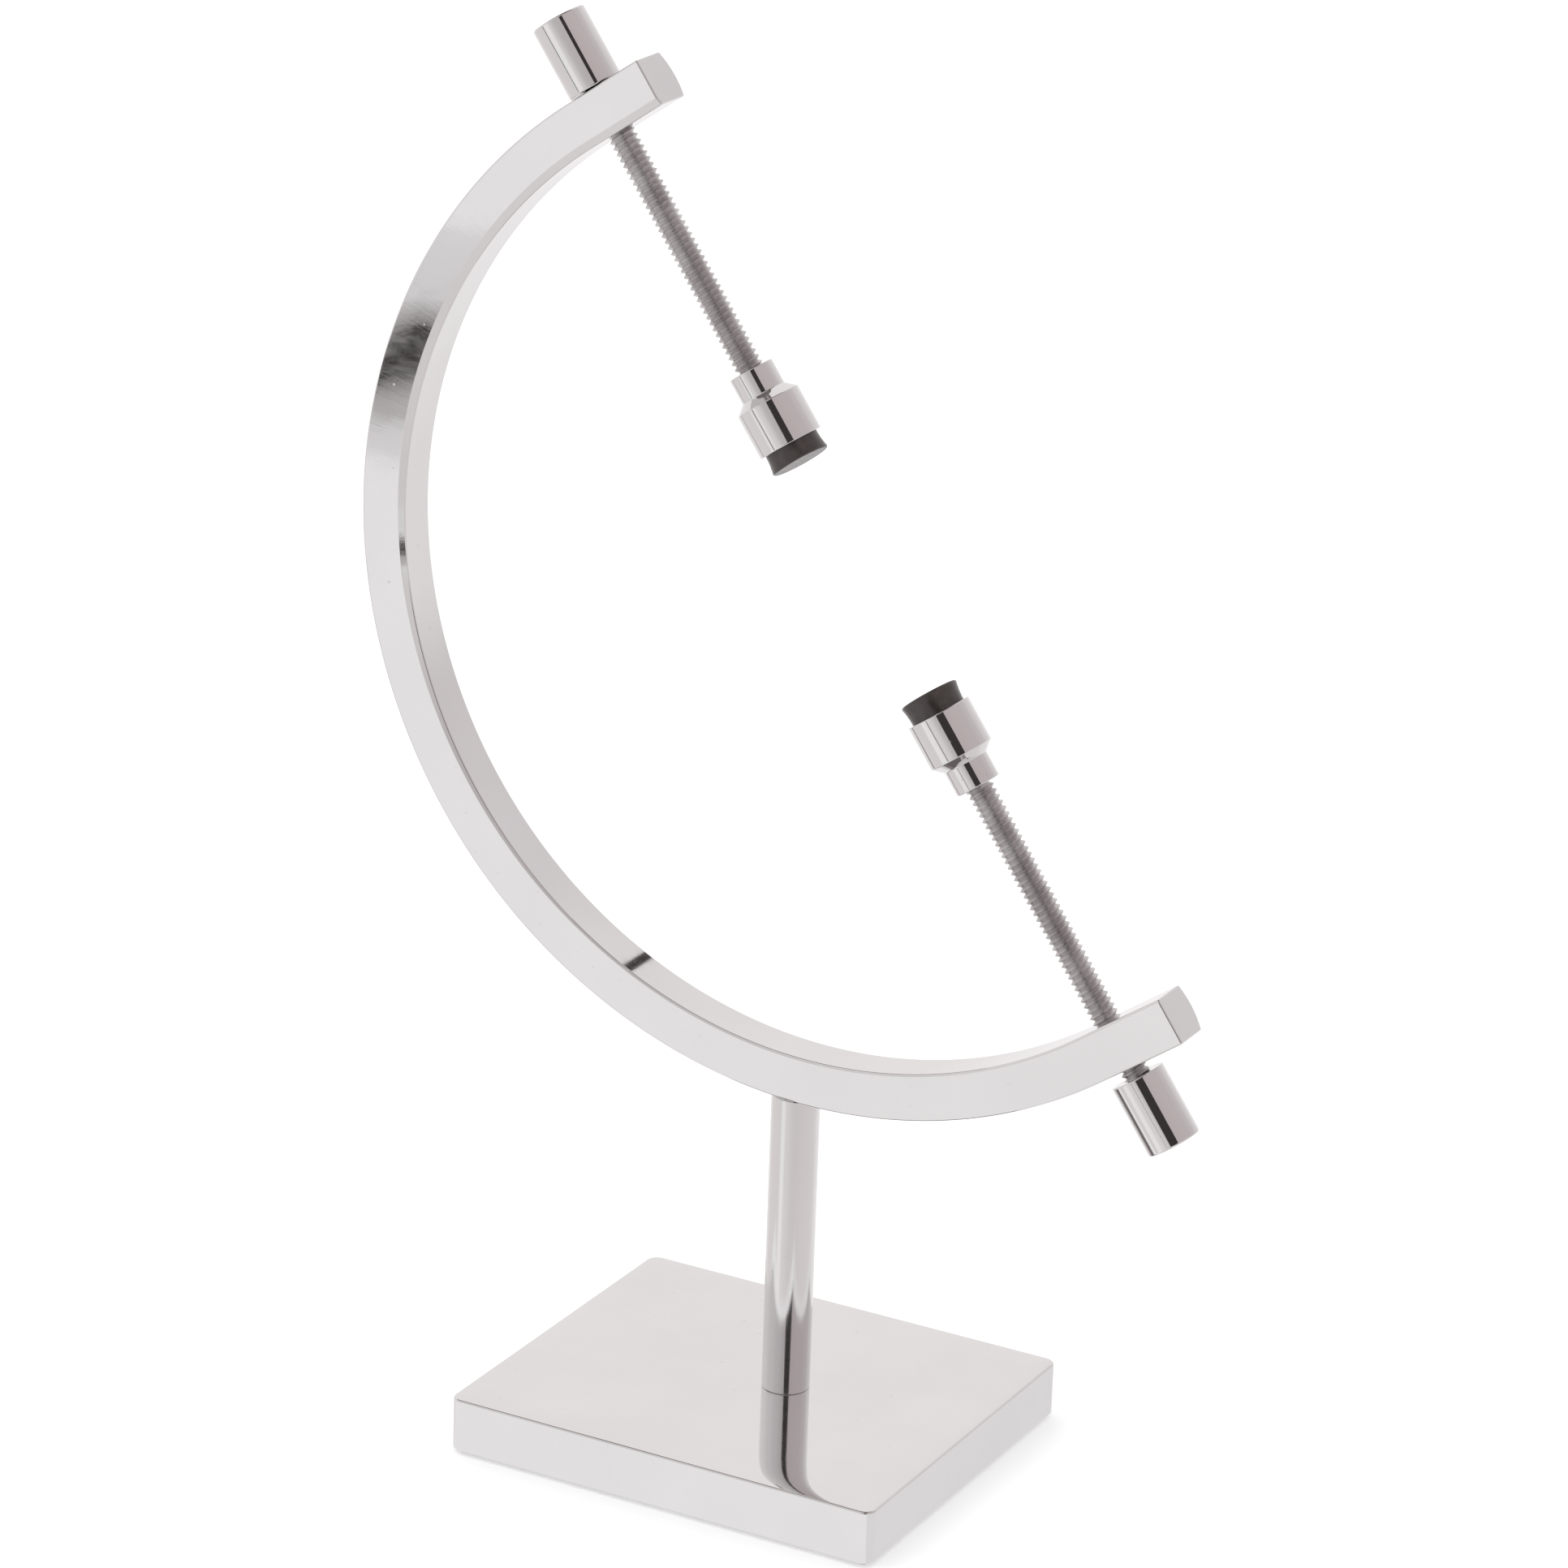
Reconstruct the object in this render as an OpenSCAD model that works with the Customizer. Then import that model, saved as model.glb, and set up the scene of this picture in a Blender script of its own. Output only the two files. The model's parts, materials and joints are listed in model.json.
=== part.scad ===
// C-arm specimen display stand: a slab base, a round post and a bent square bar
// that holds two opposed clamping screws on one slanted axis. Millimetres, +Z up.
// The origin is the middle of the underside, with the arm in the XZ plane and its mouth towards +X.

/* [Base] */
// width of the slab, along X
base_width = 80; // [70:1:100]
// depth of the slab, along Y
base_depth = 68.5; // [60:0.5:90]
// thickness of the slab
base_thickness = 9.7; // [9:0.1:14]
// radius of the slab's corners seen from above
base_corner_radius = 2.2; // [1:0.1:5]
// bevel around the slab's top edge
base_edge_bevel = 0.4; // [0.2:0.1:1]
// thickness of the non-slip sheet under the slab
liner_thickness = 0.8; // [0.5:0.1:1.5]
// how far the sheet stops short of the slab's edge
liner_inset = 1.5; // [1:0.5:5]

/* [Post] */
// diameter of the post
post_diameter = 8.2; // [7.6:0.2:10]
// distance of the post from the middle of the slab, along X
post_offset = 5.5; // [0:0.5:12]

/* [Arm] */
// outer radius of the bend
arm_outer_radius = 89.1; // [80:0.1:100]
// size of the bar across the bend
arm_bar_radial = 8.1; // [7:0.1:10]
// depth of the bar's flat front face before the screw axis
arm_front_depth = 3.6; // [3:0.1:4.5]
// depth of the bar's outer back edge behind the screw axis
arm_outer_back_depth = 3.75; // [3:0.05:4.5]
// depth of the bar's inner back edge behind the screw axis
arm_inner_back_depth = 4.15; // [3:0.05:4.5]
// how far the bar's back bulges past a flat between those two edges
arm_back_crown = 0.8; // [0.1:0.05:1]
// bevel along the bar's four edges
arm_edge_bevel = 0.35; // [0.2:0.05:0.8]
// slope of the screw axis from the horizontal
screw_axis_slope = 54.6; // [45:0.1:65]
// middle of the screw axis, along X
screw_axis_x = 14.5; // [10:0.5:20]
// middle of the screw axis above the slab's underside
screw_axis_height = 154.6; // [150:0.1:170]
// distance from the bend's centre to the screw axis, along the straight ends
bend_centre_setback = 4.4; // [2:0.1:8]
// length of the bar past the screw axis at the upper end
upper_end_length = 11.3; // [8:0.1:16]
// length of the bar past the screw axis at the lower end
lower_end_length = 12.5; // [8:0.1:16]

/* [Clamping screws] */
// outside diameter of the thread
screw_thread_diameter = 4.7; // [4.5:0.05:4.8]
// diameter at the bottom of the thread
screw_root_diameter = 3.6; // [3.4:0.05:3.7]
// distance from one thread to the next
screw_pitch = 1.0583; // [1:0.0001:1.1]
// number of threads on each screw
screw_threads = 57; // [52:1:58]
// space left between the two pads
pad_gap = 42.4; // [36:0.1:50]
// space between the lower knob and the arm
lower_knob_gap = 1.8; // [1:0.1:4]

/* [Knobs] */
// diameter of a knob
knob_diameter = 9.2; // [8:0.1:14]
// length of a knob
knob_length = 12.5; // [12:0.1:18]

/* [Cups and pads] */
// diameter of a cup's body
cup_diameter = 10.9; // [10:0.1:14]
// length of a cup's body
cup_body_length = 7.65; // [7.5:0.05:10]
// length of the slope between a cup's body and its neck
cup_slope_length = 1.45; // [1:0.05:3]
// diameter of a cup's neck
cup_neck_diameter = 7.6; // [7:0.1:9]
// length of a cup's neck
cup_neck_length = 4.3; // [4:0.1:6]
// diameter of a pad where it leaves the cup
pad_waist_diameter = 9.2; // [8.8:0.1:9.6]
// diameter of a pad's flat face
pad_face_diameter = 9.9; // [9.6:0.1:10.8]
// length of a pad outside its cup
pad_length = 3.3; // [3:0.1:5]

/* [Hidden] */

round_fn = 64;
bend_fn = 240;
overlap = 1;

chrome = [0.86, 0.86, 0.87];
steel = [0.55, 0.56, 0.58];
rubber = [0.2, 0.17, 0.16];
liner_grey = [0.72, 0.72, 0.71];

// clearances: a threaded joint between fixed pieces, a turning or sliding fit, and an end gap
fixed_clearance = 0.03;
running_clearance = 0.05;
end_gap = 0.08;

// slab levels
slab_bottom = liner_thickness;
slab_top = slab_bottom + base_thickness;

// bend and screw axis in the XZ plane
arm_inner_radius = arm_outer_radius - arm_bar_radial;
axis_height = liner_thickness + screw_axis_height;
bend_centre_x = screw_axis_x - bend_centre_setback * sin(screw_axis_slope);
bend_centre_z = axis_height - bend_centre_setback * cos(screw_axis_slope);
bend_start_angle = 180 - screw_axis_slope;
post_reach = post_offset - bend_centre_x;
arm_underside = bend_centre_z - sqrt(pow(arm_outer_radius, 2) - pow(post_reach, 2));

// fastenings through the base and into the arm
fastener_diameter = 5;
fastener_root_diameter = 4.1;
fastener_pitch = 0.8;
fastener_hole_diameter = fastener_diameter + 2 * fixed_clearance;
screw_head_diameter = 8.5;
screw_head_height = 3.5;
hex_across_flats = 4;
hex_depth = 2;
lock_washer_diameter = 9.2;
lock_washer_hole = 5.3;
lock_washer_thickness = 1.2;
lock_washer_turn = 348;
counterbore_diameter = 10.4;
counterbore_depth = 6.2;
clearance_hole_diameter = 5.5;
counterbore_floor = slab_bottom + counterbore_depth;
screw_head_top = counterbore_floor - lock_washer_thickness;
base_screw_threads = 16;
base_screw_plain = 4;
post_lower_hole_depth = 15;
stud_threads = 20;
stud_into_arm = 5;
stud_hole_in_arm = 5.5;
post_upper_hole_depth = 13;
post_foot_bevel = 0.25;

// distances along the screw axis, measured outwards from its middle
pad_face_at = pad_gap / 2;
cup_mouth_at = pad_face_at + pad_length;
cup_slope_at = cup_mouth_at + cup_body_length;
cup_neck_at = cup_slope_at + cup_slope_length;
cup_end_at = cup_neck_at + cup_neck_length;
thread_start_at = cup_end_at + end_gap;
upper_knob_at = arm_outer_radius + 2 * end_gap;
lower_knob_at = arm_outer_radius + lower_knob_gap;
knob_hole_depth = 10;
knob_edge_bevel = 0.3;
cup_edge_bevel = 0.25;

// the swivel inside each cup
pocket_diameter = 8.4;
pocket_depth = 7;
pocket_floor_at = cup_mouth_at + pocket_depth;
spigot_diameter = 3.4;
ring_outer_diameter = 6;
ring_inner_diameter = 2.6;
ring_thickness = 0.5;
ring_turn = 310;
ring_gap = 0.2;
ring_at = pocket_floor_at - ring_gap - ring_thickness;
groove_width = ring_thickness + 0.1;
spigot_tip_at = ring_at - 0.6;
spigot_bevel = 0.2;
pad_plug_depth = 4;
pad_plug_diameter = pocket_diameter - 2 * fixed_clearance;
pad_edge_radius = 0.25;
pad_flare_steps = 6;
back_crown_steps = 6;

// Outline of a V thread from its start, as [radius, height] pairs.
function thread_outline(start, turns, pitch, root_r, crest_r) =
    [for (i = [0:turns - 1])
        for (p = [[root_r, 0], [crest_r, 0.44], [crest_r, 0.56]])
            [p[0], start + (i + p[1]) * pitch]];

// A concave flare that leaves the waist gently and steepens towards the face.
function pad_flare() =
    [for (i = [0:pad_flare_steps])
        let (t = i / pad_flare_steps)
        [(pad_waist_diameter + (pad_face_diameter - pad_waist_diameter) * t * t) / 2,
         cup_mouth_at - t * (pad_length - pad_edge_radius)]];

// The bulging back of the bar, from its inner edge to its outer edge.
function crowned_back() =
    [for (i = [0:back_crown_steps])
        let (t = i / back_crown_steps)
        [arm_inner_radius + arm_edge_bevel + t * (arm_bar_radial - 2 * arm_edge_bevel),
         -arm_inner_back_depth - t * (arm_outer_back_depth - arm_inner_back_depth)
             - 4 * arm_back_crown * t * (1 - t)]];

// Outline of the bar, with x measured from the bend's centre and y towards the front.
module bar_section() {
    b = arm_edge_bevel;
    inner = arm_inner_radius;
    outer = arm_outer_radius;
    polygon(concat(
        [[inner + b, arm_front_depth], [inner, arm_front_depth - b], [inner, b - arm_inner_back_depth]],
        crowned_back(),
        [[outer, b - arm_outer_back_depth], [outer, arm_front_depth - b], [outer - b, arm_front_depth]]));
}

// A solid of revolution about Z.
module turned(points) {
    rotate_extrude($fn = round_fn)
        polygon(points);
}

module drill(diameter, from, to) {
    translate([0, 0, from])
        cylinder(d = diameter, h = to - from, $fn = round_fn);
}

// A block with rounded corners and an optional bevel around its top edge.
module rounded_block(width, depth, height, corner, bevel) {
    for (turn = [0, 90]) {
        run = (turn == 0 ? width : depth) - 2 * corner;
        across = turn == 0 ? depth : width;
        rotate([0, 0, turn])
            translate([-run / 2, 0, 0])
                rotate([90, 0, 90])
                    linear_extrude(height = run)
                        polygon([[-across / 2, 0], [across / 2, 0],
                                 [across / 2, height - bevel], [across / 2 - bevel, height],
                                 [-across / 2 + bevel, height], [-across / 2, height - bevel]]);
    }
    for (x = [-1, 1], y = [-1, 1])
        translate([x * (width / 2 - corner), y * (depth / 2 - corner), 0])
            turned([[0, 0], [corner, 0], [corner, height - bevel],
                    [corner - bevel, height], [0, height]]);
}

module at_post() {
    translate([post_offset, 0, 0])
        children();
}

// Stands Z along the screw axis, pointing outwards: side 1 is up, side -1 is down.
module on_screw_axis(side) {
    translate([screw_axis_x, 0, axis_height])
        rotate([0, screw_axis_slope - side * 90, 0])
            children();
}

module base_plate() {
    color(chrome)
    difference() {
        translate([0, 0, slab_bottom])
            rounded_block(base_width, base_depth, base_thickness, base_corner_radius, base_edge_bevel);
        at_post() {
            drill(counterbore_diameter, slab_bottom - overlap, counterbore_floor);
            drill(clearance_hole_diameter, slab_bottom, slab_top + overlap);
        }
    }
}

// A plain rubber sheet glued over the underside and the screw in it.
module base_liner() {
    color(liner_grey)
    linear_extrude(height = liner_thickness)
        square([base_width - 2 * liner_inset, base_depth - 2 * liner_inset], center = true);
}

// A socket head screw that pulls the post down onto the slab.
module base_screw() {
    crest = fastener_diameter / 2;
    root = fastener_root_diameter / 2;
    head = screw_head_diameter / 2;
    thread_start = screw_head_top + base_screw_plain;
    thread_end = thread_start + base_screw_threads * fastener_pitch;
    head_bottom = screw_head_top - screw_head_height;
    color(steel)
    at_post()
    difference() {
        turned(concat(
            [[0, head_bottom], [head - 0.3, head_bottom], [head, head_bottom + 0.3],
             [head, screw_head_top], [crest, screw_head_top], [crest, thread_start - 0.3]],
            thread_outline(thread_start, base_screw_threads, fastener_pitch, root, crest),
            [[root, thread_end], [0, thread_end]]));
        translate([0, 0, head_bottom - overlap])
            cylinder(d = hex_across_flats / cos(30), h = hex_depth + overlap, $fn = 6);
    }
}

// A split ring under the screw's head.
module base_lock_washer() {
    color(steel)
    at_post()
    translate([0, 0, screw_head_top])
        rotate_extrude(angle = lock_washer_turn, $fn = round_fn)
            translate([lock_washer_hole / 2, 0])
                square([(lock_washer_diameter - lock_washer_hole) / 2, lock_washer_thickness]);
}

// The top of the post is hollowed to sit against the round underside of the arm.
module post() {
    radius = post_diameter / 2;
    color(chrome)
    difference() {
        at_post()
        difference() {
            turned([[0, slab_top], [radius - post_foot_bevel, slab_top],
                    [radius, slab_top + post_foot_bevel],
                    [radius, arm_underside + overlap], [0, arm_underside + overlap]]);
            drill(fastener_hole_diameter, slab_top - overlap, slab_top + post_lower_hole_depth);
            drill(fastener_hole_diameter, arm_underside - post_upper_hole_depth, arm_underside + 2 * overlap);
        }
        translate([bend_centre_x, 0, bend_centre_z])
            rotate([90, 0, 0])
                cylinder(r = arm_outer_radius, h = 2 * post_diameter, center = true, $fn = bend_fn);
    }
}

// A headless threaded stud, half in the post and half in the arm.
module post_stud() {
    top = arm_underside + stud_into_arm;
    start = top - stud_threads * fastener_pitch;
    root = fastener_root_diameter / 2;
    color(steel)
    at_post()
        turned(concat([[0, start]],
                      thread_outline(start, stud_threads, fastener_pitch, root, fastener_diameter / 2),
                      [[root, top], [0, top]]));
}

module arm() {
    color(chrome)
    difference() {
        translate([bend_centre_x, 0, bend_centre_z])
        rotate([90, 0, 0])
        rotate([0, 0, bend_start_angle]) {
            rotate_extrude(angle = 180, $fn = bend_fn)
                bar_section();
            rotate([90, 0, 0])
                linear_extrude(height = bend_centre_setback + upper_end_length)
                    bar_section();
            mirror([1, 0, 0])
            rotate([90, 0, 0])
                linear_extrude(height = bend_centre_setback + lower_end_length)
                    bar_section();
        }
        for (side = [-1, 1])
            on_screw_axis(side)
                drill(screw_thread_diameter + 2 * running_clearance,
                      arm_inner_radius - overlap, arm_outer_radius + overlap);
        at_post()
            drill(fastener_hole_diameter, arm_underside - overlap, arm_underside + stud_hole_in_arm);
    }
}

// A clamping screw: a grooved spigot that turns inside the cup, then thread to its outer end.
module clamp_screw() {
    spigot = spigot_diameter / 2;
    groove = ring_inner_diameter / 2;
    crest = screw_thread_diameter / 2;
    root = screw_root_diameter / 2;
    thread_end = thread_start_at + screw_threads * screw_pitch;
    color(steel)
        turned(concat(
            [[0, spigot_tip_at], [spigot - spigot_bevel, spigot_tip_at],
             [spigot, spigot_tip_at + spigot_bevel], [spigot, ring_at],
             [groove, ring_at], [groove, ring_at + groove_width], [spigot, ring_at + groove_width],
             [spigot, thread_start_at]],
            thread_outline(thread_start_at, screw_threads, screw_pitch, root, crest),
            [[root, thread_end], [0, thread_end]]));
}

module knob(start) {
    radius = knob_diameter / 2;
    b = knob_edge_bevel;
    color(chrome)
    translate([0, 0, start])
    difference() {
        turned([[0, 0], [radius - b, 0], [radius, b], [radius, knob_length - b],
                [radius - b, knob_length], [0, knob_length]]);
        drill(screw_thread_diameter + 2 * fixed_clearance, -overlap, knob_hole_depth);
    }
}

module cup() {
    body = cup_diameter / 2;
    neck = cup_neck_diameter / 2;
    b = cup_edge_bevel;
    color(chrome)
    difference() {
        turned([[0, cup_mouth_at], [body - b, cup_mouth_at], [body, cup_mouth_at + b],
                [body, cup_slope_at], [neck, cup_neck_at], [neck, cup_end_at - b],
                [neck - b, cup_end_at], [0, cup_end_at]]);
        drill(pocket_diameter, cup_mouth_at - overlap, pocket_floor_at);
        drill(spigot_diameter + 2 * running_clearance, cup_mouth_at, cup_end_at + overlap);
    }
}

module pad() {
    plug = pad_plug_diameter / 2;
    face = pad_face_diameter / 2;
    color(rubber)
        turned(concat(
            [[0, cup_mouth_at + pad_plug_depth], [plug, cup_mouth_at + pad_plug_depth],
             [plug, cup_mouth_at]],
            pad_flare(),
            [[face - pad_edge_radius, pad_face_at], [0, pad_face_at]]));
}

// An open ring snapped into the spigot's groove, which keeps the cup on the screw.
module retaining_ring() {
    color(steel)
    translate([0, 0, ring_at])
        rotate_extrude(angle = ring_turn, $fn = round_fn)
            translate([ring_inner_diameter / 2, 0])
                square([(ring_outer_diameter - ring_inner_diameter) / 2, ring_thickness]);
}

base_plate();
base_liner();
base_screw();
base_lock_washer();
post();
post_stud();
arm();
on_screw_axis(1) clamp_screw();  // upper_screw
on_screw_axis(1) knob(upper_knob_at);  // upper_knob
on_screw_axis(1) cup();  // upper_cup
on_screw_axis(1) pad();  // upper_pad
on_screw_axis(1) retaining_ring();  // upper_retaining_ring
on_screw_axis(-1) clamp_screw();  // lower_screw
on_screw_axis(-1) knob(lower_knob_at);  // lower_knob
on_screw_axis(-1) cup();  // lower_cup
on_screw_axis(-1) pad();  // lower_pad
on_screw_axis(-1) retaining_ring();  // lower_retaining_ring
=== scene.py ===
"""Visual model of a C-arm specimen display stand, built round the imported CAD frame. Metres, +Z up."""
import json
import math
import random

import bmesh
import bpy
from mathutils import Matrix, Vector


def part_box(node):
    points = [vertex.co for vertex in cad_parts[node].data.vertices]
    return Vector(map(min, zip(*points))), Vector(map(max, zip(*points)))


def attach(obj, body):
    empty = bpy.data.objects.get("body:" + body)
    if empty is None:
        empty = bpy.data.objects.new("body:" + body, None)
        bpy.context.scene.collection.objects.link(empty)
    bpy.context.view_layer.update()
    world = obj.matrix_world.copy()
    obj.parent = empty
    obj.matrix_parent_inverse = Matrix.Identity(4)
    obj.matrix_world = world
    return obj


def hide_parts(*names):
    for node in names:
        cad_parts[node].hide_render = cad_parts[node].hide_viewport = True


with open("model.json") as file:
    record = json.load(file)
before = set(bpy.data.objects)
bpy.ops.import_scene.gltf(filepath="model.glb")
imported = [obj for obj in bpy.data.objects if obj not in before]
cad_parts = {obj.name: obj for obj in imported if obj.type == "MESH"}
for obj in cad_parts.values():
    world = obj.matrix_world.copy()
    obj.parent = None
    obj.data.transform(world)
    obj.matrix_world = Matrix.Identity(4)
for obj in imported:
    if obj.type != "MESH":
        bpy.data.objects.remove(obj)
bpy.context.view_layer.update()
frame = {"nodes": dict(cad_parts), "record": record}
nodes = frame["nodes"]
record = frame["record"]
random.seed(7)
MM = 0.001  # millimetre, in metres

# ---------------------------------------------------------------- places read from the CAD frame
mounts = {m["name"]: m for m in record["mounts"]}
joints = {j["name"]: j for j in record["behaviour"]["joints"]}
screw_dir = Vector(joints["upper_pad_travel"]["axis"]).normalized()
upper_face = Vector(mounts["upper_pad_face"]["pos_m"])
lower_face = Vector(mounts["lower_pad_face"]["pos_m"])
axis_middle = (upper_face + lower_face) / 2


def reach(name, start, direction):
    """Nearest and farthest point of a CAD node along a direction, and its largest radius about it."""
    low, high, radius = 1e9, -1e9, 0.0
    for vertex in nodes[name].data.vertices:
        offset = vertex.co - start
        along = offset.dot(direction)
        low, high = min(low, along), max(high, along)
        radius = max(radius, (offset - direction * along).length)
    return low, high, radius


# ---------------------------------------------------------------- mesh helpers
def new_piece(name, verts, faces, normals, body, replaced, material):
    """A smooth piece with the given vertex normals, riding on a CAD body."""
    mesh = bpy.data.meshes.new(name)
    mesh.from_pydata([tuple(v) for v in verts], [], faces)
    mesh.polygons.foreach_set("use_smooth", [True] * len(mesh.polygons))
    mesh.validate()
    if normals is not None:
        mesh.normals_split_custom_set_from_vertices([tuple(n) for n in normals])
    piece = bpy.data.objects.new(name, mesh)
    bpy.context.scene.collection.objects.link(piece)
    mesh.materials.append(material)
    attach(piece, body)
    if replaced:
        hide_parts(*replaced)
    return piece


def rounded(points, steps=5):
    """A 2D outline with its corners rounded. Each point is (x, y, corner radius).

    Returns [(x, y, normal x, normal y)]. The normal points to the right of the direction of travel.
    A first or last point with radius 0 is kept as it is.
    """
    out = []
    last = len(points) - 1
    for i, (x, y, radius) in enumerate(points):
        here = Vector((x, y))
        before = (here - Vector(points[i - 1][:2])).normalized() if i > 0 else None
        after = (Vector(points[i + 1][:2]) - here).normalized() if i < last else None
        if before is None or after is None or radius <= 0:
            for way in (before, after):
                if way is not None:
                    out.append((x, y, way.y, -way.x))
            continue
        turn = before.angle_signed(after)
        cut = radius * math.tan(abs(turn) / 2)
        side = -1 if turn > 0 else 1
        n0, n1 = Vector((before.y, -before.x)), Vector((after.y, -after.x))
        centre = here - before * cut - n0 * radius * side
        for k in range(steps + 1):
            n = n0.slerp(n1, k / steps)
            p = centre + n * radius * side
            out.append((p.x, p.y, n.x, n.y))
    return out


def basis_about(direction):
    """Two unit vectors across a direction, the first of them as near to +Y as it can be."""
    across = Vector((0, 1, 0))
    across = (across - direction * across.dot(direction)).normalized()
    return across, direction.cross(across)


def lathe(outline, origin, direction, segments=128):
    """Turns an outline of (radius, distance along, normal out, normal along) about an axis.

    An outline that ends where it starts makes a ring-shaped solid.
    """
    a, b = basis_about(direction)
    verts, normals, faces, rings = [], [], [], []
    for step, (radius, along, n_out, n_along) in enumerate(outline):
        centre = origin + direction * along
        if step == len(outline) - 1 and outline[0][:2] == (radius, along):
            rings.append(rings[0])
            continue
        if radius < 1e-7:
            rings.append([len(verts)])
            verts.append(centre)
            normals.append(direction * (1 if n_along > 0 else -1))
            continue
        ring = []
        for k in range(segments):
            angle = 2 * math.pi * k / segments
            out = a * math.cos(angle) + b * math.sin(angle)
            ring.append(len(verts))
            verts.append(centre + out * radius)
            normals.append((out * n_out + direction * n_along).normalized())
        rings.append(ring)
    for low, high in zip(rings, rings[1:]):
        for k in range(segments):
            m = (k + 1) % segments
            if len(low) == 1 and len(high) == 1:
                break
            if len(low) == 1:
                faces.append((low[0], high[m], high[k]))
            elif len(high) == 1:
                faces.append((low[k], low[m], high[0]))
            else:
                faces.append((low[k], low[m], high[m], high[k]))
    return verts, faces, normals


# ---------------------------------------------------------------- material helpers
class Nodes:
    """A short way to build a node tree."""

    def __init__(self, name):
        self.material = bpy.data.materials.new(name)
        self.material.use_nodes = True
        self.tree = self.material.node_tree
        self.shader = self.tree.nodes["Principled BSDF"]

    def feed(self, socket, value):
        """Links an output to a socket, or sets the socket to a plain value."""
        if isinstance(value, bpy.types.NodeSocket):
            self.tree.links.new(value, socket)
        else:
            socket.default_value = value

    def add(self, kind, inputs=None, **settings):
        node = self.tree.nodes.new(kind)
        for key, value in settings.items():
            setattr(node, key, value)
        for key, value in (inputs or {}).items():
            self.feed(node.inputs[key], value)
        return node

    def link(self, output, key):
        self.tree.links.new(output, self.shader.inputs[key])

    def place(self):
        return self.add("ShaderNodeTexCoord").outputs["Object"]

    def stretched(self, vector, scale):
        return self.add("ShaderNodeMapping", {"Vector": vector, "Scale": scale}).outputs["Vector"]

    def noise(self, vector, scale, detail=4.0, roughness=0.5):
        return self.add("ShaderNodeTexNoise", {"Vector": vector, "Scale": scale, "Detail": detail,
                                               "Roughness": roughness}).outputs["Fac"]

    def spread(self, value, low, high, to_low, to_high):
        return self.add("ShaderNodeMapRange", {"Value": value, "From Min": low, "From Max": high,
                                               "To Min": to_low, "To Max": to_high}).outputs["Result"]

    def mix(self, factor, first, second):
        node = self.add("ShaderNodeMix", data_type="RGBA")
        for index, value in ((0, factor), (6, first), (7, second)):
            self.feed(node.inputs[index], value)
        return node.outputs[2]

    def math(self, operation, a, b=0.0):
        node = self.add("ShaderNodeMath", operation=operation)
        self.feed(node.inputs[0], a)
        self.feed(node.inputs[1], b)
        return node.outputs[0]

    def bump(self, height, strength, distance, normal=None):
        node = self.add("ShaderNodeBump", {"Height": height, "Strength": strength, "Distance": distance})
        if normal is not None:
            self.tree.links.new(normal, node.inputs["Normal"])
        return node.outputs["Normal"]


def chrome(name, tint, brushed_about=None, sharpest=0.028, haziest=0.075):
    """Chrome plate: nearly a mirror, with faint haze, specks and polishing marks."""
    m = Nodes(name)
    place = m.place()
    haze = m.noise(place, 60.0, 3.0)
    colour = m.mix(m.spread(haze, 0.35, 0.65, 0.0, 1.0),
                   (*[c * 0.985 for c in tint], 1), (*[min(1, c * 1.012) for c in tint], 1))
    specks = m.noise(place, 900.0, 2.0, 0.4)
    speck_mask = m.spread(specks, 0.745, 0.785, 0.0, 1.0)
    colour = m.mix(m.math("MULTIPLY", speck_mask, 0.16), colour, (0.42, 0.41, 0.40, 1))
    m.link(colour, "Base Color")
    m.shader.inputs["Metallic"].default_value = 1.0
    smear = m.noise(m.stretched(place, (30, 30, 90)), 6.0, 5.0, 0.6)
    rough = m.spread(smear, 0.3, 0.75, sharpest, haziest)
    m.link(m.math("ADD", rough, m.math("MULTIPLY", speck_mask, 0.2)), "Roughness")
    ripple = m.bump(m.noise(place, 45.0, 1.0), 0.10, 0.0002)
    normal = m.bump(m.noise(place, 2600.0, 2.0), 0.02, 0.00002, ripple)
    if brushed_about is not None:
        # polishing marks across the bar: fine along the bend, long across it
        split = m.add("ShaderNodeSeparateXYZ", {"Vector": place})
        dx = m.math("SUBTRACT", split.outputs["X"], brushed_about.x)
        dz = m.math("SUBTRACT", split.outputs["Z"], brushed_about.z)
        angle = m.math("ARCTAN2", dz, dx)
        radius = m.math("SQRT", m.math("ADD", m.math("MULTIPLY", dx, dx), m.math("MULTIPLY", dz, dz)))
        unrolled = m.add("ShaderNodeCombineXYZ", {"X": m.math("MULTIPLY", angle, 160.0),
                                                  "Y": m.math("MULTIPLY", radius, 55.0),
                                                  "Z": m.math("MULTIPLY", split.outputs["Y"], 55.0)})
        marks = m.noise(unrolled.outputs["Vector"], 1.0, 3.0, 0.6)
        normal = m.bump(marks, 0.015, 0.00005, normal)
    m.link(normal, "Normal")
    return m.material


def bright_steel(name):
    """Cut thread: greyer than the chrome, with fine turning marks and darker patches."""
    m = Nodes(name)
    place = m.place()
    patches = m.noise(place, 260.0, 3.0)
    patch_mask = m.spread(patches, 0.3, 0.7, 0.0, 1.0)
    m.link(m.mix(patch_mask, (0.53, 0.51, 0.505, 1), (0.68, 0.665, 0.665, 1)), "Base Color")
    m.shader.inputs["Metallic"].default_value = 1.0
    m.link(m.spread(m.noise(place, 900.0, 3.0), 0.3, 0.7, 0.27, 0.40), "Roughness")
    m.link(m.bump(m.noise(place, 2200.0, 2.0), 0.06, 0.00002), "Normal")
    return m.material


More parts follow.
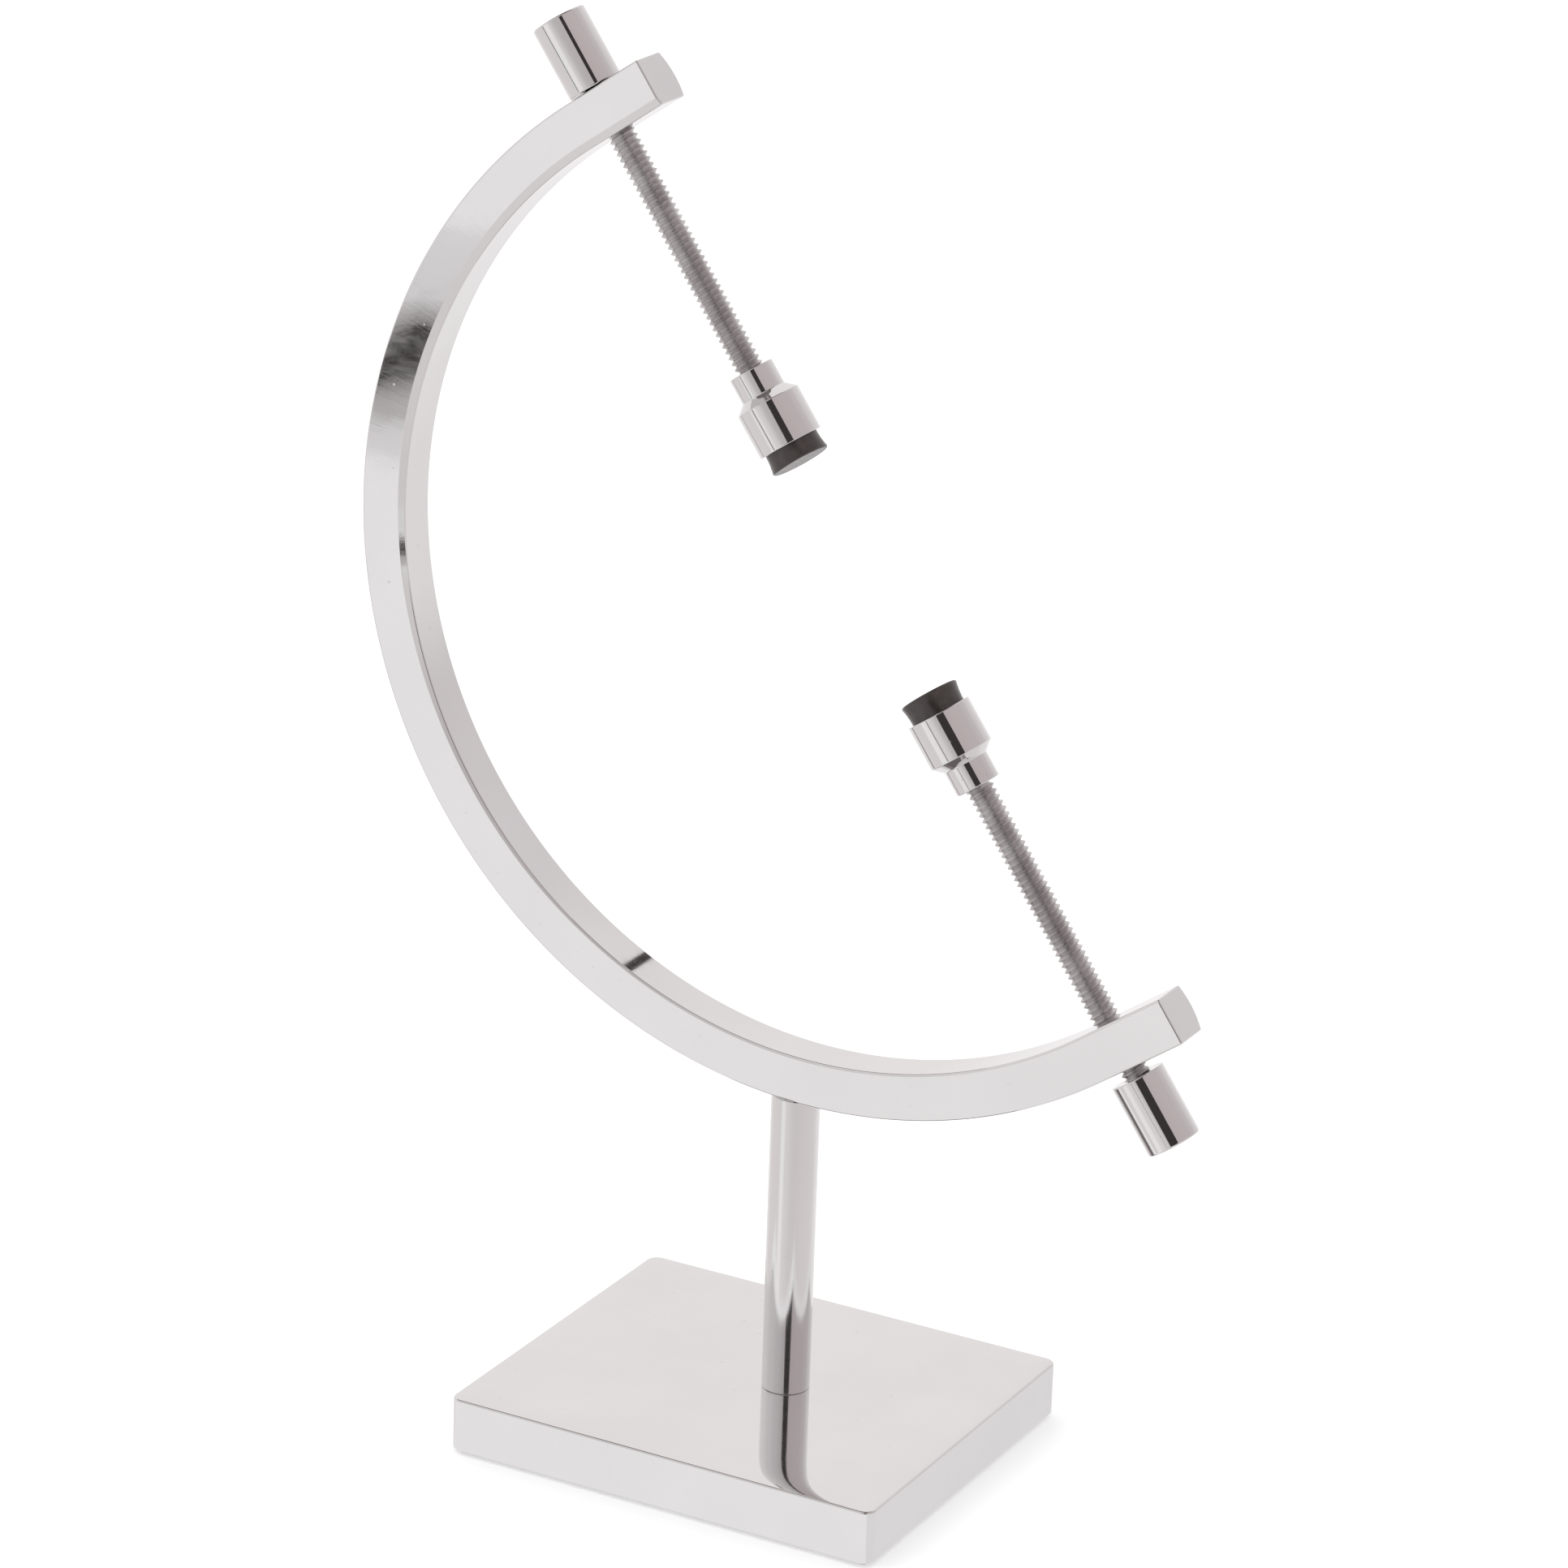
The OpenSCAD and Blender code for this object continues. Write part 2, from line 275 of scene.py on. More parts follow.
def plain_steel(name):
    """Zinc-plated fasteners, out of sight."""
    m = Nodes(name)
    place = m.place()
    cloud = m.noise(place, 500.0, 4.0)
    m.link(m.mix(cloud, (0.44, 0.45, 0.48, 1), (0.60, 0.60, 0.58, 1)), "Base Color")
    m.shader.inputs["Metallic"].default_value = 1.0
    m.link(m.spread(cloud, 0.2, 0.8, 0.28, 0.45), "Roughness")
    m.link(m.bump(m.noise(place, 2500.0, 3.0), 0.2, 0.00003), "Normal")
    return m.material


def pad_rubber(name):
    """Smooth dark brown moulded rubber with a slight bloom and a fine grain."""
    m = Nodes(name)
    place = m.place()
    bloom = m.noise(place, 700.0, 5.0, 0.6)
    bloom_mask = m.spread(bloom, 0.35, 0.7, 0.0, 1.0)
    m.link(m.mix(bloom_mask, (0.021, 0.014, 0.012, 1), (0.038, 0.028, 0.024, 1)), "Base Color")
    m.link(m.spread(m.noise(place, 1800.0, 3.0), 0.3, 0.7, 0.20, 0.32), "Roughness")
    m.shader.inputs["Specular IOR Level"].default_value = 0.75
    m.link(m.bump(m.noise(place, 5200.0, 3.0), 0.35, 0.00004), "Normal")
    return m.material


def liner_rubber(name):
    """Pale grey non-slip sheet with a fine grain."""
    m = Nodes(name)
    place = m.place()
    grain = m.add("ShaderNodeTexVoronoi", {"Vector": place, "Scale": 1400.0}).outputs["Distance"]
    m.link(m.mix(m.noise(place, 120.0, 4.0), (0.56, 0.56, 0.55, 1), (0.66, 0.66, 0.645, 1)), "Base Color")
    m.link(m.spread(m.noise(place, 300.0, 3.0), 0.3, 0.7, 0.6, 0.85), "Roughness")
    m.link(m.bump(grain, 0.4, 0.0001), "Normal")
    return m.material


CHROME_TINT = (0.775, 0.77, 0.772)
chrome_plate = chrome("chrome_plate", CHROME_TINT)
post_chrome = chrome("post_chrome", CHROME_TINT, sharpest=0.10, haziest=0.15)
steel_thread = bright_steel("bright_steel")
steel_plain = plain_steel("plain_steel")
rubber_pad = pad_rubber("pad_rubber")
rubber_liner = liner_rubber("liner_rubber")


# ---------------------------------------------------------------- slab
def build_slab():
    """The slab: rounded corners in plan, small rounds along its edges, a top that rolls off towards them."""
    low, high = (Vector(corner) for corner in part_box("base_plate"))
    middle = (low + high) / 2
    half_x, half_y = (high.x - low.x) / 2, (high.y - low.y) / 2
    corner, smallest_corner, arc_steps = 2.2 * MM, 0.05 * MM, 14
    top_round, bottom_round, round_steps = 0.42 * MM, 0.25 * MM, 6
    roll_reach, roll_length, roll_drop, roll_steps = 9 * MM, 2.2 * MM, 0.32 * MM, 16
    outline = []
    for k, (sx, sy) in enumerate(((1, 1), (-1, 1), (-1, -1), (1, -1))):
        for i in range(arc_steps + 1):
            angle = math.pi / 2 * (k + i / arc_steps)
            out = Vector((math.cos(angle), math.sin(angle), 0))
            outline.append((Vector((sx, sy, 0)), out))
    rows = []
    for i in range(round_steps + 1):
        angle = math.pi / 2 * (1 - i / round_steps)
        rows.append((bottom_round * (1 - math.cos(angle)), low.z + bottom_round * (1 - math.sin(angle)),
                     math.cos(angle), -math.sin(angle)))
    for i in range(round_steps + 1):
        angle = math.pi / 2 * i / round_steps
        edge_drop = roll_drop + top_round * (1 - math.sin(angle))
        rows.append((top_round * (1 - math.cos(angle)), high.z - edge_drop, math.cos(angle), math.sin(angle)))
    last = rows[-1]
    rows[-1] = (last[0], last[1], roll_drop / roll_length, 1.0)
    for i in range(1, roll_steps + 1):
        along = roll_reach * (i / roll_steps) ** 1.6
        left = math.exp(-along / roll_length) if i < roll_steps else 0.0
        rows.append((top_round + along, high.z - roll_drop * left, roll_drop * left / roll_length, 1.0))
    verts, normals, faces = [], [], []
    count = len(outline)
    for inset, height, n_out, n_up in rows:
        radius = max(corner - inset, smallest_corner)
        for side, out in outline:
            verts.append(Vector((middle.x + side.x * (half_x - inset - radius),
                                 middle.y + side.y * (half_y - inset - radius), height)) + out * radius)
            normals.append((out * n_out + Vector((0, 0, n_up))).normalized())
    for r in range(len(rows) - 1):
        for k in range(count):
            m = (k + 1) % count
            faces.append((r * count + k, r * count + m, (r + 1) * count + m, (r + 1) * count + k))
    faces.append(tuple(reversed(range(count))))
    faces.append(tuple((len(rows) - 1) * count + k for k in range(count)))
    return new_piece("base_slab", verts, faces, normals, "stand",
                     ["base_plate"], chrome_plate)


# ---------------------------------------------------------------- bent bar
BAR_RADIAL, BAR_ROUND, BEVEL_ROUND = 8.1 * MM, 0.35 * MM, 0.30 * MM
ARM_OUTER = 89.1 * MM
ARM_INNER = ARM_OUTER - BAR_RADIAL
INNER_BACK, OUTER_BACK = 4.15 * MM, 3.75 * MM  # depth of the back's two edges behind the screw axis
BACK_CROWN, CROWN_ROUND, CROWN_STEPS = 0.78 * MM, 2.0 * MM, 12
UPPER_END, LOWER_END, SETBACK = 11.3 * MM, 12.5 * MM, 4.4 * MM
BEVEL_SHARE = 0.62  # the part of the bend, from its upper end, along which the ground flat fades out
along_bar = Vector((screw_dir.z, 0, -screw_dir.x))
bend_centre = axis_middle - along_bar * SETBACK
arm_chrome = chrome("arm_chrome", CHROME_TINT, bend_centre)


def bar_section(bevel_depth, bevel_reach, front):
    """The bar's section as (radius, y, normal out, normal y), clockwise from the inner face's front.

    The front inner edge has a ground flat, bevel_reach wide and bevel_depth deep. The back is crowned.
    """
    points = [(ARM_INNER, bevel_depth - front, BEVEL_ROUND), (ARM_INNER + bevel_reach, -front, BEVEL_ROUND),
              (ARM_OUTER, -front, BAR_ROUND), (ARM_OUTER, OUTER_BACK, BAR_ROUND)]
    for k in range(CROWN_STEPS - 1, 0, -1):
        t = k / CROWN_STEPS
        depth = INNER_BACK + (OUTER_BACK - INNER_BACK) * t + 4 * BACK_CROWN * t * (1 - t)
        points.append((ARM_INNER + BAR_RADIAL * t, depth, CROWN_ROUND))
    points.append((ARM_INNER, INNER_BACK, BAR_ROUND))
    ring = rounded([points[-1]] + points + [points[0]], 4)
    return ring[1:-1]


def build_arm():
    """The C-shaped bar, swept along a half circle with a straight length at each end."""
    front = -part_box("arm")[0][1]
    start = math.atan2(screw_dir.z, screw_dir.x)
    stations = []
    end_round, end_steps = 0.3 * MM, 5
    for i in range(end_steps + 1):
        a = math.pi / 2 * (1 - i / end_steps)
        stations.append((start, SETBACK + UPPER_END - end_round * (1 - math.sin(a)),
                         end_round * (1 - math.cos(a)), -math.sin(a)))
    bend_steps = 220
    for i in range(bend_steps + 1):
        stations.append((start + math.pi * i / bend_steps, 0.0, 0.0, 0.0))
    for i in range(end_steps + 1):
        a = math.pi / 2 * i / end_steps
        stations.append((start + math.pi, SETBACK + LOWER_END - end_round * (1 - math.sin(a)),
                         end_round * (1 - math.cos(a)), math.sin(a)))
    verts, normals, faces = [], [], []
    count = None
    for index, (angle, extra, inset, n_along) in enumerate(stations):
        share = (angle - start) / math.pi
        # the flat is ground widest at the upper end and narrows to a plain broken edge
        ground = min(1.0, 1.6 * max(0.0, 1 - share / BEVEL_SHARE))
        bevel_reach = (0.35 + 0.95 * ground) * MM
        bevel_depth = (0.30 + 0.22 * ground) * MM
        section = bar_section(bevel_depth, bevel_reach, front)
        count = len(section)
        out = Vector((math.cos(angle), 0, math.sin(angle)))
        forward = Vector((-math.sin(angle), 0, math.cos(angle)))
        for radius, y, n_out, n_y in section:
            normal2 = out * n_out + Vector((0, n_y, 0))
            point = bend_centre + out * radius + Vector((0, y, 0)) + along_bar * extra
            verts.append(point - normal2 * inset)
            normals.append((normal2 * math.sqrt(max(0.0, 1 - n_along ** 2)) + forward * n_along).normalized())
    for s in range(len(stations) - 1):
        for k in range(count):
            m = (k + 1) % count
            faces.append((s * count + k, s * count + m, (s + 1) * count + m, (s + 1) * count + k))
    first, last = list(range(count)), [(len(stations) - 1) * count + k for k in range(count)]
    faces.append(tuple(reversed(first)))
    faces.append(tuple(last))
    return new_piece("c_arm_bar", verts, faces, normals, "stand", ["arm"], arm_chrome)


# ---------------------------------------------------------------- post
def build_post():
    """The post, with a fine bevel at its foot and a top that meets the round underside of the bar."""
    low, high = (Vector(corner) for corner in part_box("post"))
    centre = Vector(((low.x + high.x) / 2, (low.y + high.y) / 2, 0))
    radius = (high.x - low.x) / 2
    segments, foot = 128, 0.25 * MM
    outline = rounded([(0, low.z, 0), (radius, low.z, foot), (radius, low.z + 12 * foot, 0)], 5)
    verts, faces, normals = lathe(outline, Vector((centre.x, centre.y, 0)), Vector((0, 0, 1)), segments)
    base = len(verts) - segments
    top_ring = []
    for k in range(segments):
        edge = verts[base + k]
        lift = ARM_OUTER ** 2 - (edge.x - bend_centre.x) ** 2
        top = bend_centre.z - math.sqrt(lift)
        top_ring.append(len(verts))
        verts.append(Vector((edge.x, edge.y, top)))
        normals.append(normals[base + k])
    for k in range(segments):
        m = (k + 1) % segments
        faces.append((base + k, base + m, top_ring[m], top_ring[k]))
    faces.append(tuple(top_ring))
    return new_piece("round_post", verts, faces, normals, "stand", ["post"], post_chrome)


# ---------------------------------------------------------------- clamping screws
PITCH = 1.0583 * MM
CREST, ROOT = 2.35 * MM, 1.80 * MM
LEAD_IN, SPIGOT, NECK_GAP = 0.6 * MM, 1.7 * MM, 0.08 * MM
WELD = 0.002 * MM  # points nearer than this are joined


def build_screw(side):
    """A threaded rod with a true helix from the cup's neck to its outer end."""
    direction = screw_dir if side == "upper" else -screw_dir
    low, high, _ = reach(f"{side}_screw", axis_middle, direction)
    _, neck, _ = reach(f"{side}_cup", axis_middle, direction)
    start = neck + NECK_GAP
    a, b = basis_about(direction)
    around = 72
    # one turn's profile: share of the pitch against radius
    profile = [(0.00, ROOT), (0.05, ROOT + 0.02 * MM), (0.42, CREST - 0.05 * MM), (0.46, CREST),
               (0.54, CREST), (0.58, CREST - 0.05 * MM), (0.95, ROOT + 0.02 * MM)]
    turns = int((high - start) / PITCH) + 2
    top = high - 0.02 * MM
    verts, faces = [], []
    rows = [(turn + share, radius) for turn in range(-1, turns) for share, radius in profile]
    for place, radius in rows:
        for k in range(around):
            angle = 2 * math.pi * k / around
            along = start + (place + k / around) * PITCH
            inside = start < along < top
            r = min(radius, CREST - (along - (high - LEAD_IN))) if inside else ROOT
            out = a * math.cos(angle) + b * math.sin(angle)
            verts.append(axis_middle + direction * min(max(along, start), top) + out * max(r, ROOT))
    per_turn = len(profile)
    for row in range(len(rows) - 1):
        for k in range(around):
            if k < around - 1:
                faces.append((row * around + k, row * around + k + 1,
                              (row + 1) * around + k + 1, (row + 1) * around + k))
            elif row + per_turn + 1 < len(rows):
                faces.append((row * around + k, (row + per_turn) * around, (row + per_turn + 1) * around,
                              (row + 1) * around + k))
    verts += [axis_middle + direction * start, axis_middle + direction * top]
    last = (len(rows) - 1) * around
    for k in range(around):
        m = (k + 1) % around
        faces.append((len(verts) - 2, m, k))
        faces.append((len(verts) - 1, last + k, last + m))
    piece = new_piece(f"{side}_threaded_rod", verts, faces, None, f"{side}_thumb_screw",
                      [f"{side}_screw"], steel_thread)
    return finish_screw(piece, direction, low, start, high)


def finish_screw(piece, direction, low, start, high):
    """Joins the thread to its spigot and closes its outer end, then cleans the flattened runs."""
    bm = bmesh.new()
    bm.from_mesh(piece.data)
    bmesh.ops.remove_doubles(bm, verts=bm.verts, dist=WELD)
    bmesh.ops.dissolve_degenerate(bm, dist=WELD, edges=bm.edges)
    bm.to_mesh(piece.data)
    bm.free()
    spigot = rounded([(0, low, 0), (SPIGOT, low, 0.2 * MM), (SPIGOT, start + 0.1 * MM, 0),
                      (0, start + 0.1 * MM, 0)], 4)
    verts, faces, _ = lathe(spigot, axis_middle, direction, 64)
    cap_radius = 1.77 * MM
    cap = rounded([(0, high - LEAD_IN, 0), (cap_radius, high - LEAD_IN, 0), (cap_radius, high, 0.2 * MM),
                   (0, high, 0)], 4)
    more, more_faces, _ = lathe(cap, axis_middle, direction, 64)
    faces += [tuple(i + len(verts) for i in f) for f in more_faces]
    verts += more
    extra = bpy.data.meshes.new("spigot")
    extra.from_pydata([tuple(v) for v in verts], [], faces)
    bm = bmesh.new()
    bm.from_mesh(piece.data)
    bm.from_mesh(extra)
    bm.to_mesh(piece.data)
    bm.free()
    bpy.data.meshes.remove(extra)
    piece.data.polygons.foreach_set("use_smooth", [True] * len(piece.data.polygons))
    piece.data.set_sharp_from_angle(angle=math.radians(32))
    return piece


# ---------------------------------------------------------------- knobs, cups and pads
def build_knob(side):
    direction = screw_dir if side == "upper" else -screw_dir
    low, high, radius = reach(f"{side}_knob", axis_middle, direction)
    bore, depth = CREST + 0.03 * MM, 10 * MM
    outline = rounded([(0, low + depth, 0), (bore, low + depth, 0.1 * MM), (bore, low, 0.12 * MM),
                       (radius, low, 0.22 * MM), (radius, high, 0.35 * MM), (0, high, 0)], 6)
    verts, faces, normals = lathe(outline, axis_middle, direction)
    return new_piece(f"{side}_round_knob", verts, faces, normals, f"{side}_thumb_screw",
                     [f"{side}_knob"], chrome_plate)


def build_cup(side):
    direction = screw_dir if side == "upper" else -screw_dir
    low, high, radius = reach(f"{side}_cup", axis_middle, direction)
    body_end, slope_end = low + 7.65 * MM, low + 9.1 * MM
    neck, pocket, pocket_floor, hole = 3.8 * MM, 4.2 * MM, low + 7 * MM, 1.75 * MM
    in_hole = (hole, (high + pocket_floor) / 2, 0)
    outline = rounded([in_hole, (hole, pocket_floor, 0.05 * MM), (pocket, pocket_floor, 0.1 * MM),
                       (pocket, low, 0.08 * MM), (radius, low, 0.18 * MM), (radius, body_end, 0.22 * MM),
                       (neck, slope_end, 0.25 * MM), (neck, high, 0.22 * MM),
                       (hole, high, 0.05 * MM), in_hole], 5)
    verts, faces, normals = lathe(outline, axis_middle, direction)
    return new_piece(f"{side}_stepped_cup", verts, faces, normals, f"{side}_pad_holder",
                     [f"{side}_cup"], chrome_plate)


PAD_TILT = math.radians(5.3)
PAD_LEAN = Vector((0.45, -0.83, 0.33))
PAD_LEAN = (PAD_LEAN - screw_dir * PAD_LEAN.dot(screw_dir)).normalized()


def build_pad(side):
    """The rubber tip: a waist at the cup's mouth that flares to a flat face, pressed in slightly askew."""
    direction = screw_dir if side == "upper" else -screw_dir
    low, high, radius = reach(f"{side}_pad", axis_middle, direction)
    mouth, plug, waist = low + 3.3 * MM, 4.17 * MM, 4.6 * MM
    flare = []
    for k in range(9):
        t = k / 8
        flare.append((waist + (radius - waist) * t ** 2.0, mouth - t * (mouth - low - 0.28 * MM), 1.5 * MM))
    flare[0] = (waist, mouth, 0.03 * MM)
    flare[-1] = (radius, low + 0.25 * MM, 0.08 * MM)
    outline = rounded([(0, low, 0), (radius - 0.16 * MM, low, 0.3 * MM)] + flare[::-1]
                      + [(plug, mouth, 0.02 * MM), (plug, high, 0.3 * MM), (0, high, 0)], 4)
    verts, faces, normals = lathe(outline, axis_middle, direction, 128)
    for i, point in enumerate(verts):
        offset = point - axis_middle
        share = min(1.0, max(0.0, (mouth - offset.dot(direction)) / (mouth - low)))
        verts[i] = point + screw_dir * offset.dot(PAD_LEAN) * math.tan(PAD_TILT) * share
        lean = PAD_LEAN * normals[i].dot(screw_dir) * math.tan(PAD_TILT) * share
        normals[i] = (normals[i] - lean).normalized()
    return new_piece(f"{side}_rubber_tip", verts, faces, normals, f"{side}_pad_holder",
                     [f"{side}_pad"], rubber_pad)


build_slab()
build_arm()
build_post()
for side in ("upper", "lower"):
    build_screw(side)
    build_knob(side)
    build_cup(side)
    build_pad(side)

# ---------------------------------------------------------------- CAD nodes that stay as they are
for name, material in (("base_liner", rubber_liner), ("base_screw", steel_plain),
                       ("base_lock_washer", steel_plain), ("post_stud", steel_plain),
                       ("upper_retaining_ring", steel_plain), ("lower_retaining_ring", steel_plain)):
    mesh_slots = nodes[name].material_slots
    if not mesh_slots:
        nodes[name].data.materials.append(material)
    for mesh_slot in nodes[name].material_slots:
        mesh_slot.material = material

# ---------------------------------------------------------------- camera
CAMERA_AZIMUTH = math.radians(28.04)
CAMERA_ELEVATION = math.radians(19.98)
CAMERA_ROLL = math.radians(2.01)
CAMERA_DISTANCE, CAMERA_LENS = 0.977, 137.57
CAMERA_TARGET = Vector((0.0012, 0, 0.1176))
back = Vector((math.sin(CAMERA_AZIMUTH) * math.cos(CAMERA_ELEVATION),
               -math.cos(CAMERA_AZIMUTH) * math.cos(CAMERA_ELEVATION), math.sin(CAMERA_ELEVATION)))
level_right = (-back).cross(Vector((0, 0, 1))).normalized()
level_up = level_right.cross(-back)
cos_roll, sin_roll = math.cos(CAMERA_ROLL), math.sin(CAMERA_ROLL)
right = level_right * cos_roll + level_up * sin_roll
up = level_up * cos_roll - level_right * sin_roll
camera_place = CAMERA_TARGET + back * CAMERA_DISTANCE

camera_data = bpy.data.cameras.new("camera")
camera_data.lens = CAMERA_LENS
camera_data.sensor_width = 36
camera_data.clip_end = 50
camera = bpy.data.objects.new("camera", camera_data)
camera.matrix_world = Matrix((
    (right.x, up.x, back.x, camera_place.x),
    (right.y, up.y, back.y, camera_place.y),
    (right.z, up.z, back.z, camera_place.z),
    (0, 0, 0, 1)))
bpy.context.scene.collection.objects.link(camera)
bpy.context.scene.camera = camera

# ---------------------------------------------------------------- studio
scene = bpy.context.scene
scene.view_settings.view_transform = "Standard"
scene.view_settings.look = "None"


def stage_mesh(name, verts, faces, material, hidden=True):
    """A studio surface. A hidden one shows only in reflections."""
    mesh = bpy.data.meshes.new(name)
    mesh.from_pydata([tuple(v) for v in verts], [], faces)
    surface = bpy.data.objects.new(name, mesh)
    mesh.materials.append(material)
    scene.collection.objects.link(surface)
    if hidden:
        surface.visible_camera = False
        surface.visible_diffuse = False
        surface.visible_shadow = False
    return surface


def glow(name, colour, strength):
    m = Nodes(name)
    m.shader.inputs["Base Color"].default_value = (0, 0, 0, 1)
    m.shader.inputs["Roughness"].default_value = 1.0
    m.shader.inputs["Specular IOR Level"].default_value = 0.0
    m.shader.inputs["Emission Color"].default_value = (*colour, 1)
    m.shader.inputs["Emission Strength"].default_value = strength
    return m.material


floor_nodes = Nodes("pale_floor")
floor_nodes.shader.inputs["Base Color"].default_value = (0.88, 0.88, 0.88, 1)
floor_nodes.shader.inputs["Roughness"].default_value = 1.0
floor_nodes.shader.inputs["Specular IOR Level"].default_value = 0.0
floor_nodes.shader.inputs["Emission Color"].default_value = (1, 1, 1, 1)
floor_nodes.shader.inputs["Emission Strength"].default_value = 0.24
FLOOR_HALF = 4.0
stage_mesh("floor", [(-FLOOR_HALF, -FLOOR_HALF, 0), (FLOOR_HALF, -FLOOR_HALF, 0),
                     (FLOOR_HALF, FLOOR_HALF, 0), (-FLOOR_HALF, FLOOR_HALF, 0)],
           [(0, 1, 2, 3)], floor_nodes.material, hidden=False).visible_glossy = False

# a near-black glowing card that shows only in reflections: it stands for the dark gaps, and is painted shade
# at the sheet's edge and crease further down
black_card = glow("black_card", (0.045, 0.039, 0.039), 1.0)

# the dark gap that the camera looks through, wider near the floor
GAP_RIGHT, GAP_BACK = 0.08, 0.05
gap_foot = camera_place + level_right * GAP_RIGHT + back * GAP_BACK
gap_outline = [(-0.25, 0.02), (0.25, 0.02), (0.25, 0.42), (0.12, 0.66),
               (0.09, 1.32), (-0.09, 1.32), (-0.13, 0.66), (-0.25, 0.42)]
gap_points = [(gap_foot.x + level_right.x * x, gap_foot.y + level_right.y * x, z) for x, z in gap_outline]
stage_mesh("camera_gap", gap_points, [tuple(range(len(gap_points)))], black_card)

# the dark ceiling, which shows mostly in the slab's rounded edges
ceiling_card = glow("ceiling_card", (0.20, 0.175, 0.165), 1.0)
stage_mesh("ceiling_gap", [(-1.5, -0.42, 1.2), (0.5, -0.42, 1.2), (0.5, 0.28, 1.2), (-1.5, 0.28, 1.2)],
           [(0, 1, 2, 3)], ceiling_card)

# a narrow dark gap behind the stand, between the backdrop and the table
stage_mesh("rear_gap", [(-0.026, 0.81, 0.52), (0.016, 0.81, 0.50), (0.010, 0.81, 0.66), (0.020, 0.81, 0.80),
                        (-0.020, 0.81, 0.82), (-0.012, 0.81, 0.65)], [(0, 1, 2, 3, 4, 5)], black_card)

# the crumpled front edge of the white sheet, lying on the floor at the front left, as painted shade: grey and
# black glowing cards that show only in reflections
grey_shade_card = glow("grey_shade_card", (0.52, 0.50, 0.50), 1.0)
shade_card = glow("shade_card", (0.80, 0.78, 0.785), 1.0)


def floor_strip(name, near, far, raggedness, level, material, gap=(0, 0)):
    """A strip on the floor from left to right, between two distances in front, with ragged edges.

    No strip lies between the two x of the gap.
    """
    steps = 160
    verts, faces = [], []
    for i in range(steps + 1):
        x = -1.3 + 2.4 * i / steps
        slant = 0.06 * (x + 0.4)
        for y in (near, far):
            verts.append((x, -y - slant + random.uniform(-raggedness, raggedness), level))
    for i in range(steps):
        if not gap[0] < verts[2 * i][0] < gap[1]:
            faces.append((2 * i, 2 * i + 1, 2 * i + 3, 2 * i + 2))
    return stage_mesh(name, verts, faces, material)


def floor_patch(name, centre, heading, half_length, half_width, raggedness, level, material):
    """A long ragged patch on the floor."""
    steps, (cx, cy), (hx, hy) = 40, centre, heading
    ring = []
    for i in range(steps):
        angle = 2 * math.pi * i / steps
        reach_out = 1 + random.uniform(-raggedness, raggedness)
        u, v = half_length * math.cos(angle) * reach_out, half_width * math.sin(angle) * reach_out
        ring.append((cx + hx * u - hy * v, cy + hy * u + hx * v, level))
    return stage_mesh(name, ring, [tuple(range(steps))], material)


# the white sheet just beside the slab, lit a little less on the right
slab_low, slab_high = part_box("base_plate")
NEAR, NEAR_LEVEL, TUCK = 0.028, 0.0004, 0.001  # width, height and how far it reaches under the slab
corner_x, corner_y = slab_high[0] - TUCK, slab_low[1] + TUCK
near_front = glow("near_front", (0.97, 0.955, 0.958), 1.0)
near_right = glow("near_right", (0.855, 0.835, 0.84), 1.0)
left_end, front_end = slab_low[0] - NEAR, corner_y - NEAR
right_end, back_end = corner_x + NEAR, slab_high[1] + NEAR
stage_mesh("sheet_front", [(left_end, corner_y, NEAR_LEVEL), (left_end, front_end, NEAR_LEVEL),
                           (right_end, front_end, NEAR_LEVEL), (corner_x, corner_y, NEAR_LEVEL)],
           [(0, 1, 2, 3)], near_front)
stage_mesh("sheet_right", [(corner_x, corner_y, NEAR_LEVEL), (right_end, front_end, NEAR_LEVEL),
                           (right_end, back_end, NEAR_LEVEL), (corner_x, back_end, NEAR_LEVEL)],
           [(0, 1, 2, 3)], near_right)

# straight creases across the sheet, broken by one crumpled patch, with their shade painted as pale, grey and
# black strips and patches
FOLD_GAP = (-0.47, -0.34)
CREASE_PLACE, CREASE_HEADING = (-0.40, -0.535), (0.37, 0.93)
floor_strip("sheet_shade", 0.445, 0.66, 0.004, 0.0006, shade_card)
floor_strip("sheet_fold_shade", 0.505, 0.60, 0.004, 0.0009, grey_shade_card, FOLD_GAP)
floor_strip("sheet_edge_shade", 0.522, 0.556, 0.006, 0.0012, black_card, FOLD_GAP)
floor_patch("crease_shade", CREASE_PLACE, CREASE_HEADING, 0.060, 0.024, 0.30, 0.0015, grey_shade_card)
floor_patch("crease", CREASE_PLACE, CREASE_HEADING, 0.036, 0.009, 0.45, 0.0018, black_card)

# the room, by direction from the stand: angle from the camera, to its right, against the colour seen there
ROOM_LOW = ((-180, 0.98, 0.955, 0.96), (-150, 0.93, 0.91, 0.91), (-125, 0.83, 0.79, 0.78),
            (-70, 0.80, 0.765, 0.76), (-61, 0.97, 0.955, 0.955), (-50, 0.95, 0.93, 0.93),
            (-42, 0.81, 0.785, 0.78), (0, 0.73, 0.695, 0.685), (60, 0.77, 0.725, 0.72),
            (100, 0.80, 0.76, 0.76), (125, 0.90, 0.87, 0.87), (150, 0.96, 0.94, 0.94),
            (180, 0.98, 0.955, 0.96))
ROOM_HIGH = ((-180, 0.95, 0.915, 0.91), (-120, 0.90, 0.87, 0.865), (-75, 0.78, 0.75, 0.75),
             (-45, 0.68, 0.655, 0.66), (-12, 0.58, 0.54, 0.54), (10, 0.58, 0.51, 0.51),
             (75, 0.60, 0.54, 0.54), (105, 0.65, 0.60, 0.605), (125, 0.77, 0.73, 0.735),
             (150, 0.88, 0.84, 0.84), (180, 0.95, 0.915, 0.91))

world = bpy.data.worlds.new("studio")
scene.world = world
world.use_nodes = True
tree = world.node_tree
tree.nodes.clear()


